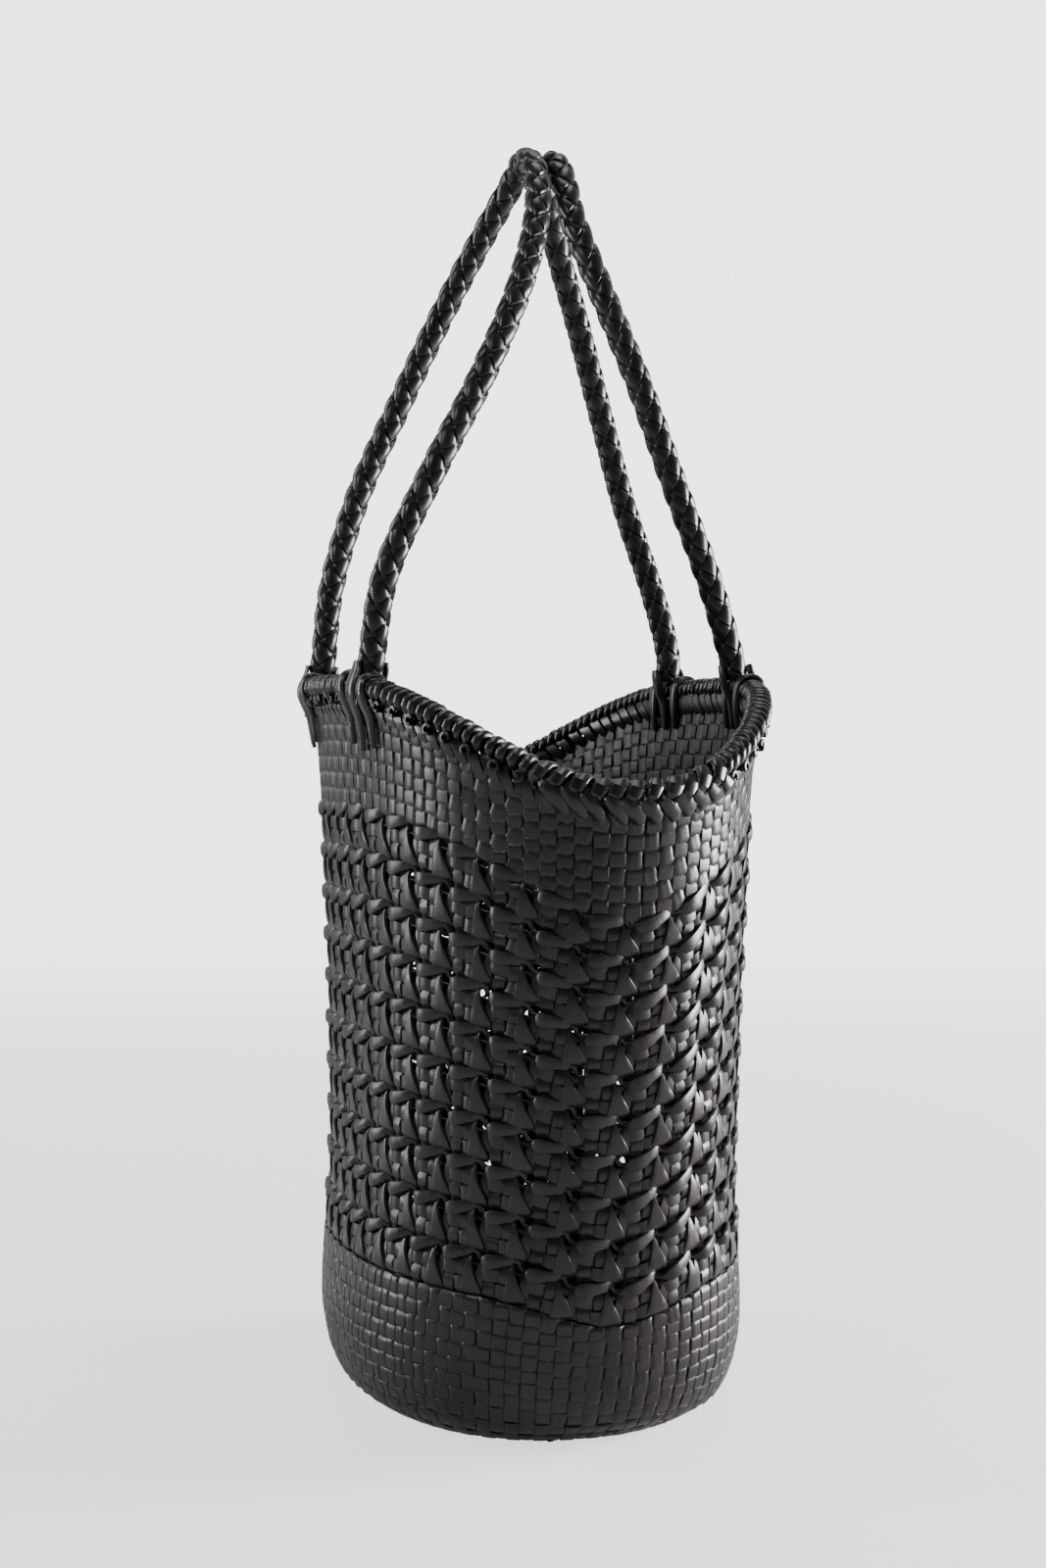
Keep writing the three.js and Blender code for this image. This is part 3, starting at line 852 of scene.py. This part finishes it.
def centripetal(points, per_stretch=40):
    """Centripetal Catmull-Rom curve through the points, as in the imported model."""
    points = np.asarray(points)
    ends = np.concatenate([[2 * points[0] - points[1]], points, [2 * points[-1] - points[-2]]])
    curve = []
    for k in range(len(points) - 1):
        p = ends[k:k + 4]
        gaps = np.maximum(np.linalg.norm(np.diff(p, axis=0), axis=1) ** 0.5, 1e-9)
        t0, t1, t2, t3 = np.concatenate([[0], np.cumsum(gaps)])
        t = np.linspace(t1, t2, per_stretch, endpoint=False)[:, None]
        a1 = (t1 - t) / (t1 - t0) * p[0] + (t - t0) / (t1 - t0) * p[1]
        a2 = (t2 - t) / (t2 - t1) * p[1] + (t - t1) / (t2 - t1) * p[2]
        a3 = (t3 - t) / (t3 - t2) * p[2] + (t - t2) / (t3 - t2) * p[3]
        b1 = (t2 - t) / (t2 - t0) * a1 + (t - t0) / (t2 - t0) * a2
        b2 = (t3 - t) / (t3 - t1) * a2 + (t - t1) / (t3 - t1) * a3
        curve.append((t2 - t) / (t2 - t1) * b1 + (t - t1) / (t2 - t1) * b2)
    return np.concatenate(curve + [points[-1:]])


def handle_line(handle):
    """Middle line of a rope, from its far foot over the top to its near foot."""
    meeting = LOOP_SHIFT + handle.side * LOOP_GAP / 2
    strands = {}
    for end_name, end in ENDS:
        foot_x, foot_y, foot_z = foot_point(handle.shift + end * handle.spacing / 2, handle.side)
        strands[end_name] = [
            (
                row.wide * foot_x,
                meeting + getattr(row, f"{handle.name}_{end_name}") * (foot_y - meeting),
                foot_z + row.up * (ROPE_TOP - foot_z),
            )
            for row in HANDLE_STATIONS
        ]
    return centripetal(strands["far"] + [(0, meeting, ROPE_TOP)] + strands["near"][::-1])


def even_line(line, steps):
    """The line resampled at equal distances."""
    length = np.concatenate([[0], np.cumsum(np.linalg.norm(np.diff(line, axis=0), axis=1))])
    wanted = np.linspace(0, length[-1], steps)
    return np.stack([np.interp(wanted, length, line[:, k]) for k in range(3)], -1)


def carried_frame(line):
    """Two directions square to the line and to each other, carried along it without twist."""
    tangents = unit_vectors(np.gradient(line, axis=0))
    first = np.zeros_like(line)
    vector = np.cross(tangents[0], (1, 0, 0))
    for k, tangent in enumerate(tangents):
        vector = vector - tangent * np.dot(vector, tangent)
        vector = vector / np.linalg.norm(vector)
        first[k] = vector
    return first, np.cross(tangents, first)


def round_plait(handle):
    """Three strands each way, over one and under one, as one skin round a core.

    The skin's points lie on lines along the strands: p counts the strands of one way
    and q those of the other, and each square between half counts is one strand on top.
    """
    rough = handle_line(handle)
    tiles = round(np.linalg.norm(np.diff(rough, axis=0), axis=1).sum() / TILE_LENGTH)
    line = even_line(rough, ROPE_STEPS)
    first, second = carried_frame(line)
    size = len(TILE_STATIONS)
    around = PLAIT_PAIRS * size
    rows = 2 * size * tiles + 1
    i = np.arange(around)[None, :] + np.zeros((rows, 1), int)
    j = i - np.arange(rows)[:, None]
    p_local, q_local = TILE_STATIONS[i % size], TILE_STATIONS[j % size]
    p, q = i // size + p_local, j // size + q_local
    on_top = (i // size - j // size) % 2 == 0
    along = np.where(on_top, p_local, q_local)
    across = np.where(on_top, q_local, p_local)
    arch = np.maximum(np.cos(math.pi * along), 0) ** ARCH_POWER
    face = np.where(np.abs(across) > TILE_GROOVE, 0, 1 - TILE_CROWN * across**2)
    travel = (p - q) / 2
    ends = np.clip(np.minimum(travel, tiles - travel) / END_TAPER, 0, 1)
    core = ROPE_RADIUS - TILE_RISE
    radius = core + TILE_RISE * arch * face * ends
    place = np.linspace(0, tiles, len(line))

    def on_line(field):
        return np.stack([np.interp(travel, place, field[:, k]) for k in range(3)], -1)

    angle = (math.pi * (p + q) / PLAIT_PAIRS)[..., None]
    outward = unit_vectors(np.cos(angle) * on_line(first) + np.sin(angle) * on_line(second))
    points = on_line(line) + outward * radius[..., None]
    grid = np.arange(rows * around).reshape(rows, around)
    onward = np.roll(grid, -1, 1)
    quads = np.stack([grid[:-2], onward[1:-1], onward[2:], grid[1:-1]], -1)
    strand = np.where(on_top, j // size, i // size + 1)
    tone = draw.random(PLAIT_PAIRS * 4)[strand % (PLAIT_PAIRS * 4)]
    strips = Strips()
    # Share across a strand, which the rope leather uses to paint its edges paler, partly as a painted
    # highlight
    strips.add_skin(points, quads, 2 * np.abs(across), tone)
    strips.add(line[None, ::2], first[None, ::2], core, core, section=ROUND_SECTION)
    node = f"handle_{handle.name}"
    strips.make(f"{node}_plait", rope_leather, "leather_rope", (node,))


# Straps at each foot: two over the rim beside the rope, and two tongues on its faces
STRAP_REACH = ROPE_RADIUS + 3.5 * MM
STRAP_THICKNESS = 1.4 * MM
Bend = namedtuple("Bend", "out up half")
STRAP_BENDS = (
    Bend(-0.4, -27.0, 0.9),
    Bend(0.8, -20.5, 1.9),
    Bend(2.0, -14.5, 2.8),
    Bend(4.3, -9.5, 3.2),
    Bend(5.8, -5.0, 3.2),
    Bend(5.2, -0.9, 3.1),
    Bend(3.4, 1.2, 3.0),
    Bend(0.4, 2.0, 2.9),
    Bend(-2.8, 1.2, 3.0),
    Bend(-5.0, -1.2, 3.0),
    Bend(-5.8, -6.0, 2.9),
    Bend(-5.6, -13.0, 2.5),
    Bend(-4.6, -21.0, 1.4),
)
OUTER_TONGUE = (
    Bend(-0.6, -29.0, 0.9),
    Bend(0.5, -23.0, 1.9),
    Bend(1.9, -16.5, 2.9),
    Bend(3.8, -11.0, 3.7),
    Bend(5.5, -5.5, 4.1),
    Bend(4.6, -0.5, 4.1),
    Bend(3.1, 3.0, 3.7),
    Bend(2.2, 6.5, 2.6),
)
INNER_TONGUE = (
    Bend(-10.0, 6.0, 2.6),
    Bend(-9.7, 2.5, 3.4),
    Bend(-8.4, -2.5, 3.9),
    Bend(-6.4, -8.0, 3.6),
    Bend(-5.4, -14.0, 2.7),
    Bend(-4.6, -21.0, 1.2),
)


def strap(strips, bends, x, side):
    """A strap square to the rim at x, on a smooth line through the bends."""
    place, outward = rim_at_x(x, side, 0)
    rows = centripetal(bends, 4)
    out, up, half = rows.T * MM
    middle = place + out[:, None] * outward
    middle[:, 2] += up
    run = np.gradient(rows[:, :2], axis=0)
    normal = run[:, 1:2] * outward
    normal[:, 2] = -run[:, 0]
    normal = unit_vectors(normal)[None]
    strips.add(middle[None], normal, half[None], STRAP_THICKNESS, section=DOMED_SECTION)


for handle in HANDLES:
    round_plait(handle)
    tongues = Strips()
    for end_name, end in ENDS:
        foot_x = handle.shift + end * handle.spacing / 2
        strap(tongues, OUTER_TONGUE, foot_x, handle.side)
        strap(tongues, INNER_TONGUE, foot_x, handle.side)
        for edge_name, edge in (("outer", 1), ("inner", -1)):
            label = f"strap_{handle.name}_{end_name}_{edge_name}"
            lace = Strips()
            strap(lace, STRAP_BENDS, foot_x + end * edge * STRAP_REACH, handle.side)
            lace.make(f"{label}_lace", rim_leather, "leather_rim", (label,))
    tongues.make(f"handle_{handle.name}_tongues", rim_leather, "leather_rim")

# Camera at the photograph's angle
PHOTO_HEIGHT = 1600
FOCAL_PIXELS = 2175.4
CAMERA_DISTANCE = 911.7 * MM
CAMERA_HEIGHT = 277.05 * MM
CAMERA_AZIMUTH = math.radians(72.558)
CAMERA_YAW = math.radians(0.066)
CAMERA_PITCH = math.radians(1.388)

camera_data = bpy.data.cameras.new("camera")
camera_data.sensor_width = 36
camera_data.lens = FOCAL_PIXELS / PHOTO_HEIGHT * camera_data.sensor_width
camera = new_object("camera", camera_data)
heading = CAMERA_AZIMUTH + CAMERA_YAW
forward = Vector((
    -math.sin(heading) * math.cos(CAMERA_PITCH),
    math.cos(heading) * math.cos(CAMERA_PITCH),
    -math.sin(CAMERA_PITCH),
))
right = Vector((math.cos(heading), math.sin(heading), 0))
above = right.cross(forward)
turn = Matrix((right, above, -forward)).transposed()
camera.matrix_world = turn.to_4x4()
camera.location = (
    math.sin(CAMERA_AZIMUTH) * CAMERA_DISTANCE,
    -math.cos(CAMERA_AZIMUTH) * CAMERA_DISTANCE,
    CAMERA_HEIGHT,
)
bpy.context.scene.camera = camera

# Pale studio: a floor that fades into the bright far side of the surroundings
FLOOR_REACH = 12.0  # from its middle to each side
FLOOR_COLOUR = (0.86, 0.86, 0.86, 1)
FLOOR_ROUGHNESS = 0.7
FLOOR_GLOW = 0.42  # share of the far side's brightness that the floor has by the bag
FLOOR_FADE = (0.2, 2.2)  # metres behind the bag over which it fades into the far side
BACKDROP = 3.4  # radiance of the backdrop as it is seen
FAR_SIDE = 0.85  # radiance that lights the bag from behind
NEAR_SIDE = 0.12  # radiance overhead and from the camera's side
FLOOR_LIT = 0.3  # radiance of the floor's glow that lights the bag from below
WORLD_FADE = (0.3, 0.88)  # share of straight away where the near side ends and the far side begins
away = Vector((forward.x, forward.y, 0)).normalized()


def directed_fade(nodes, links, output, low, high):
    """Smooth 0 to 1 as a place or direction goes further away from the camera's side."""
    place = nodes.new("ShaderNodeTexCoord").outputs[output]
    share = nodes.new("ShaderNodeVectorMath")
    share.operation = "DOT_PRODUCT"
    links.new(place, share.inputs[0])
    share.inputs[1].default_value = away
    fade = nodes.new("ShaderNodeMapRange")
    fade.interpolation_type = "SMOOTHSTEP"
    links.new(share.outputs["Value"], fade.inputs["Value"])
    shader_input(fade, "From Min", low)
    shader_input(fade, "From Max", high)
    return fade


def seen_or_lit(nodes, links, lit):
    """Strength of the backdrop as it is seen, and a lower one where it lights the bag."""
    seen = nodes.new("ShaderNodeLightPath").outputs["Is Camera Ray"]
    choice = nodes.new("ShaderNodeMapRange")
    links.new(seen, choice.inputs["Value"])
    if isinstance(lit, float):
        shader_input(choice, "To Min", lit)
    else:
        links.new(lit, choice.inputs["To Min"])
    shader_input(choice, "To Max", BACKDROP)
    return choice.outputs["Result"]


def make_floor():
    """A large square floor that takes on the backdrop's brightness further away."""
    mesh = bpy.data.meshes.new("floor")
    reach = FLOOR_REACH
    corners = [(-reach, -reach, 0), (reach, -reach, 0), (reach, reach, 0), (-reach, reach, 0)]
    mesh.from_pydata(corners, [], [(0, 1, 2, 3)])
    material = bpy.data.materials.new("pale_floor")
    material.use_nodes = True
    nodes = material.node_tree.nodes
    links = material.node_tree.links
    shader = nodes["Principled BSDF"]
    shader_input(shader, "Base Color", FLOOR_COLOUR)
    shader_input(shader, "Roughness", FLOOR_ROUGHNESS)
    glow = nodes.new("ShaderNodeEmission")
    links.new(seen_or_lit(nodes, links, FLOOR_LIT), glow.inputs["Strength"])
    fade = directed_fade(nodes, links, "Object", *FLOOR_FADE)
    shader_input(fade, "To Min", FLOOR_GLOW)
    both = nodes.new("ShaderNodeMixShader")
    links.new(fade.outputs["Result"], both.inputs[0])
    links.new(shader.outputs["BSDF"], both.inputs[1])
    links.new(glow.outputs["Emission"], both.inputs[2])
    links.new(both.outputs["Shader"], nodes["Material Output"].inputs["Surface"])
    mesh.materials.append(material)
    floor = new_object("floor", mesh)


make_floor()

# Soft lights: places to the right, behind and above, and sizes, in metres, and power in watts
BAG_MIDDLE = Vector((0, 0, 0.2))
Softbox = namedtuple("Softbox", "name right away up width height power")
SOFTBOXES = (
    Softbox("right_softbox", 1.55, 0.28, 0.3, 0.7, 0.9, 102),
    Softbox("left_softbox", -1.5, 0.25, 0.5, 0.35, 1.4, 18),
    Softbox("front_softbox", -1.0, -0.8, 1.2, 0.4, 0.4, 4),
    Softbox("top_softbox", 0.0, 0.3, 2.2, 1.0, 1.0, 10),
)
for softbox in SOFTBOXES:
    softbox_data = bpy.data.lights.new(softbox.name, "AREA")
    softbox_data.shape = "RECTANGLE"
    softbox_data.size = softbox.width
    softbox_data.size_y = softbox.height
    softbox_data.energy = softbox.power
    light = new_object(softbox.name, softbox_data)
    light.location = right * softbox.right + away * softbox.away + Vector((0, 0, softbox.up))
    light.rotation_euler = (BAG_MIDDLE - light.location).to_track_quat("-Z", "Y").to_euler()

world = bpy.data.worlds.new("studio")
world.use_nodes = True
world_nodes = world.node_tree.nodes
world_links = world.node_tree.links
world_fade = directed_fade(world_nodes, world_links, "Generated", *WORLD_FADE)
shader_input(world_fade, "To Min", NEAR_SIDE)
shader_input(world_fade, "To Max", FAR_SIDE)
shader_input(world_nodes["Background"], "Color", (1, 1, 1, 1))
world_strength = seen_or_lit(world_nodes, world_links, world_fade.outputs["Result"])
world_links.new(world_strength, world_nodes["Background"].inputs["Strength"])
bpy.context.scene.world = world
